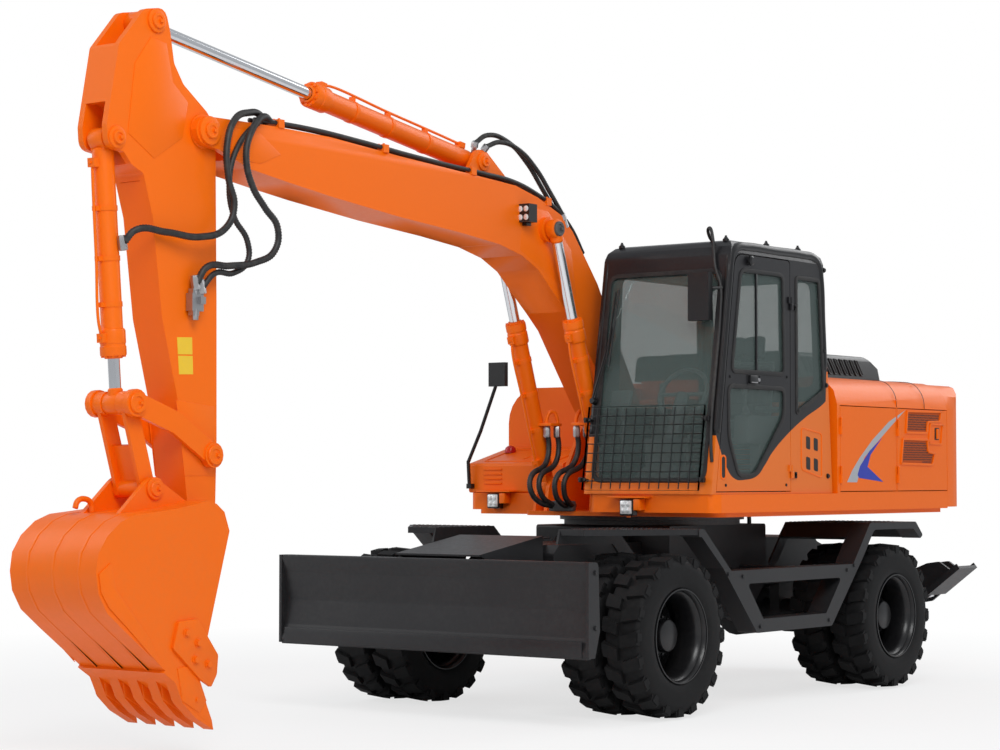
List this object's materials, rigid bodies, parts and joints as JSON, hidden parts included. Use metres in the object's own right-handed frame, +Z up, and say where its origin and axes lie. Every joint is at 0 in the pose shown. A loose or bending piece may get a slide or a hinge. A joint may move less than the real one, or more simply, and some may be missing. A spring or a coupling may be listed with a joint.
{
  "type": "wheeled excavator",
  "caption": "Orange wheeled excavator with twin tyres, a front dozer blade, rear outriggers, a glazed cab and a jointed boom, arm and bucket",
  "frame": {"origin": "centre of the bounding box on the ground, the left-right middle of the machine, midway between the back of the bucket and the tail", "axes": "+X machine left (cab side), +Y rear, +Z up"},
  "size_m": [2.546, 8.207, 4.1201],
  "materials": {
    "orange_paint": "gloss",
    "dark_paint": "satin",
    "cab_paint": "gloss",
    "tyre_rubber": "matte",
    "chrome_rod": "polished",
    "tinted_glass": "polished",
    "seat_fabric": "matte",
    "console_plastic": "matte",
    "cast_housing": "matte"
  },
  "bodies": {
    "chassis": {"chassis_frame": "dark_paint", "slew_ring": "cast_housing", "blade_cover": "dark_paint", "front_axle": "dark_paint", "rear_axle": "dark_paint", "drive_line": "cast_housing", "step_frame_left": "dark_paint", "step_frame_right": "dark_paint"},
    "knuckle_left": {"steering_knuckle_left": "dark_paint"},
    "knuckle_right": {"steering_knuckle_right": "dark_paint"},
    "wheel_front_left": {"wheel_front_left": "tyre_rubber"},
    "wheel_front_right": {"wheel_front_right": "tyre_rubber"},
    "wheel_rear_left": {"wheel_rear_left": "tyre_rubber"},
    "wheel_rear_right": {"wheel_rear_right": "tyre_rubber"},
    "blade": {"dozer_blade": "dark_paint"},
    "blade_barrel": {"blade_cylinder_barrel": "dark_paint"},
    "blade_rod": {"blade_cylinder_rod": "chrome_rod"},
    "outrigger_left": {"outrigger_leg_left": "dark_paint"},
    "outrigger_left_barrel": {"outrigger_cylinder_left_barrel": "dark_paint"},
    "outrigger_left_rod": {"outrigger_cylinder_left_rod": "chrome_rod"},
    "outrigger_right": {"outrigger_leg_right": "dark_paint"},
    "outrigger_right_barrel": {"outrigger_cylinder_right_barrel": "dark_paint"},
    "outrigger_right_rod": {"outrigger_cylinder_right_rod": "chrome_rod"},
    "upper": {"upper_deck": "orange_paint", "counterweight": "orange_paint", "engine_hood": "orange_paint", "vent_box": "cab_paint", "fuel_tank": "orange_paint", "tool_box": "orange_paint", "engine_block": "cast_housing", "cab_frame": "cab_paint", "windscreen": "tinted_glass", "rear_window": "tinted_glass", "right_window": "tinted_glass", "quarter_window": "tinted_glass", "operator_seat": "seat_fabric", "steering_console": "console_plastic", "front_guard": "cab_paint", "mirror_left": "cab_paint", "mirror_right": "cab_paint"},
    "cab_door": {"cab_door": "cab_paint", "door_glass_upper": "tinted_glass", "door_glass_lower": "tinted_glass"},
    "side_door_left_front": {"side_door_left_front": "orange_paint"},
    "side_door_left_rear": {"side_door_left_rear": "orange_paint"},
    "side_door_right": {"side_door_right": "orange_paint"},
    "boom": {"boom": "orange_paint"},
    "boom_barrels": {"boom_cylinder_left_barrel": "orange_paint", "boom_cylinder_right_barrel": "orange_paint"},
    "boom_rods": {"boom_cylinder_left_rod": "chrome_rod", "boom_cylinder_right_rod": "chrome_rod"},
    "arm": {"arm": "orange_paint"},
    "arm_barrel": {"arm_cylinder_barrel": "orange_paint"},
    "arm_rod": {"arm_cylinder_rod": "chrome_rod"},
    "bucket": {"bucket": "orange_paint"},
    "bucket_barrel": {"bucket_cylinder_barrel": "orange_paint"},
    "bucket_rod": {"bucket_cylinder_rod": "chrome_rod"},
    "rocker": {"rocker_links": "orange_paint"},
    "link": {"bucket_link": "orange_paint"}
  },
  "joints": [
    {"name": "slew", "type": "hinge", "parent": "chassis", "child": "upper", "pos_m": [0, 1.4635, 1.225], "axis": [0, 0, 1], "continuous": true},
    {"name": "steer_left", "type": "hinge", "parent": "chassis", "child": "knuckle_left", "pos_m": [0.7, -0.0665, 0.5215], "axis": [0, 0, 1], "range_deg": [-30, 30]},
    {"name": "steer_right", "type": "hinge", "parent": "chassis", "child": "knuckle_right", "pos_m": [-0.7, -0.0665, 0.5215], "axis": [0, 0, 1], "range_deg": [-30.5, 30.5]},
    {"name": "wheel_front_left_spin", "type": "hinge", "parent": "knuckle_left", "child": "wheel_front_left", "pos_m": [0.9425, -0.0665, 0.5215], "axis": [1, 0, 0], "continuous": true},
    {"name": "wheel_front_right_spin", "type": "hinge", "parent": "knuckle_right", "child": "wheel_front_right", "pos_m": [-0.9425, -0.0665, 0.5215], "axis": [1, 0, 0], "continuous": true},
    {"name": "wheel_rear_left_spin", "type": "hinge", "parent": "chassis", "child": "wheel_rear_left", "pos_m": [0.9425, 2.7835, 0.5215], "axis": [1, 0, 0], "continuous": true},
    {"name": "wheel_rear_right_spin", "type": "hinge", "parent": "chassis", "child": "wheel_rear_right", "pos_m": [-0.9425, 2.7835, 0.5215], "axis": [1, 0, 0], "continuous": true},
    {"name": "blade_lift", "type": "hinge", "parent": "chassis", "child": "blade", "pos_m": [0, -0.3165, 0.6], "axis": [-1, 0, 0], "range_deg": [-35, 0]},
    {"name": "blade_cylinder_swing", "type": "hinge", "parent": "chassis", "child": "blade_barrel", "pos_m": [0, -0.3015, 0.905], "axis": [-1, 0, 0], "range_deg": [-26.91, 0.3]},
    {"name": "blade_cylinder_stroke", "type": "slide", "parent": "blade_barrel", "child": "blade_rod", "axis": [0, -0.9274, -0.374], "range_m": [-0.003, 0.1541]},
    {"name": "outrigger_left_lower", "type": "hinge", "parent": "chassis", "child": "outrigger_left", "pos_m": [0.33, 3.8835, 0.52], "axis": [0, 1, 0], "range_deg": [0, 47]},
    {"name": "outrigger_left_cylinder_swing", "type": "hinge", "parent": "chassis", "child": "outrigger_left_barrel", "pos_m": [0.24, 3.8835, 0.36], "axis": [0, 1, 0], "range_deg": [-0.3, 40.24]},
    {"name": "outrigger_left_cylinder_stroke", "type": "slide", "parent": "outrigger_left_barrel", "child": "outrigger_left_rod", "axis": [0.9289, 0, 0.3702], "range_m": [-0.1233, 0.003]},
    {"name": "outrigger_right_lower", "type": "hinge", "parent": "chassis", "child": "outrigger_right", "pos_m": [-0.33, 3.8835, 0.52], "axis": [0, -1, 0], "range_deg": [0, 47]},
    {"name": "outrigger_right_cylinder_swing", "type": "hinge", "parent": "chassis", "child": "outrigger_right_barrel", "pos_m": [-0.24, 3.8835, 0.36], "axis": [0, -1, 0], "range_deg": [-0.3, 40.24]},
    {"name": "outrigger_right_cylinder_stroke", "type": "slide", "parent": "outrigger_right_barrel", "child": "outrigger_right_rod", "axis": [-0.9289, 0, 0.3702], "range_m": [-0.1233, 0.003]},
    {"name": "cab_door", "type": "hinge", "parent": "upper", "child": "cab_door", "pos_m": [1.23, 1.3265, 2.2], "axis": [0, 0, 1], "range_deg": [0, 150]},
    {"name": "side_door_left_front", "type": "hinge", "parent": "upper", "child": "side_door_left_front", "pos_m": [1.255, 1.966, 1.72], "axis": [0, 0, 1], "range_deg": [-85, 0]},
    {"name": "side_door_left_rear", "type": "hinge", "parent": "upper", "child": "side_door_left_rear", "pos_m": [1.255, 2.809, 1.72], "axis": [0, 0, 1], "range_deg": [-85, 0]},
    {"name": "side_door_right", "type": "hinge", "parent": "upper", "child": "side_door_right", "pos_m": [-1.255, 2.334, 1.72], "axis": [0, 0, 1], "range_deg": [0, 85]},
    {"name": "boom_lift", "type": "hinge", "parent": "upper", "child": "boom", "pos_m": [-0.11, 1.1335, 1.92], "axis": [-1, 0, 0], "range_deg": [-40, 41]},
    {"name": "boom_cylinder_swing", "type": "hinge", "parent": "upper", "child": "boom_barrels", "pos_m": [-0.11, 0.6875, 1.454], "axis": [-1, 0, 0], "range_deg": [-33.62, 34.46]},
    {"name": "boom_cylinder_stroke", "type": "slide", "parent": "boom_barrels", "child": "boom_rods", "axis": [0, -0.3205, 0.9472], "range_m": [-0.3901, 0.3998]},
    {"name": "arm_swing", "type": "hinge", "parent": "boom", "child": "arm", "pos_m": [-0.11, -3.1115, 3.472], "axis": [1, 0, 0], "range_deg": [-90, 18]},
    {"name": "arm_cylinder_swing", "type": "hinge", "parent": "boom", "child": "arm_barrel", "pos_m": [-0.11, -0.4965, 3.578], "axis": [1, 0, 0], "range_deg": [-3.31, 0.9]},
    {"name": "arm_cylinder_stroke", "type": "slide", "parent": "arm_barrel", "child": "arm_rod", "axis": [0, -0.9879, 0.1548], "range_m": [-0.9712, 0.1966]},
    {"name": "bucket_curl", "type": "hinge", "parent": "arm", "child": "bucket", "pos_m": [-0.11, -3.1065, 1.27], "axis": [1, 0, 0], "range_deg": [-20, 115]},
    {"name": "rocker_swing", "type": "hinge", "parent": "arm", "child": "rocker", "pos_m": [-0.11, -3.0505, 1.646], "axis": [1, 0, 0], "range_deg": [-13.02, 73.44]},
    {"name": "bucket_link_swing", "type": "hinge", "parent": "rocker", "child": "link", "pos_m": [-0.11, -3.6505, 1.926], "axis": [1, 0, 0], "range_deg": [-49.14, 8.79]},
    {"name": "bucket_cylinder_swing", "type": "hinge", "parent": "arm", "child": "bucket_barrel", "pos_m": [-0.11, -3.7665, 3.366], "axis": [1, 0, 0], "range_deg": [-0.56, 0.35]},
    {"name": "bucket_cylinder_stroke", "type": "slide", "parent": "bucket_barrel", "child": "bucket_rod", "axis": [0, 0.0803, -0.9968], "range_m": [-0.1416, 0.7998]}
  ],
  "couplings": [
    {"joint": "steer_right", "follows": "steer_left", "ratio": 1},
    {"joint": "blade_cylinder_swing", "follows": "blade_lift", "ratio": 0.7602},
    {"joint": "blade_cylinder_stroke", "follows": "blade_lift", "m_per_rad": -0.2473},
    {"joint": "outrigger_left_cylinder_swing", "follows": "outrigger_left_lower", "ratio": 0.8497},
    {"joint": "outrigger_left_cylinder_stroke", "follows": "outrigger_left_lower", "m_per_rad": -0.1467},
    {"joint": "outrigger_right_cylinder_swing", "follows": "outrigger_right_lower", "ratio": 0.8497},
    {"joint": "outrigger_right_cylinder_stroke", "follows": "outrigger_right_lower", "m_per_rad": -0.1467},
    {"joint": "boom_cylinder_swing", "follows": "boom_lift", "ratio": 0.8331},
    {"joint": "boom_cylinder_stroke", "follows": "boom_lift", "m_per_rad": 0.5545},
    {"joint": "arm_cylinder_swing", "follows": "arm_swing", "ratio": 0.0335},
    {"joint": "arm_cylinder_stroke", "follows": "arm_swing", "m_per_rad": 0.6164},
    {"joint": "rocker_swing", "follows": "bucket_curl", "ratio": 0.636},
    {"joint": "bucket_link_swing", "follows": "bucket_curl", "ratio": -0.4247},
    {"joint": "bucket_cylinder_swing", "follows": "bucket_curl", "ratio": -0.0023},
    {"joint": "bucket_cylinder_stroke", "follows": "bucket_curl", "m_per_rad": 0.397}
  ]
}
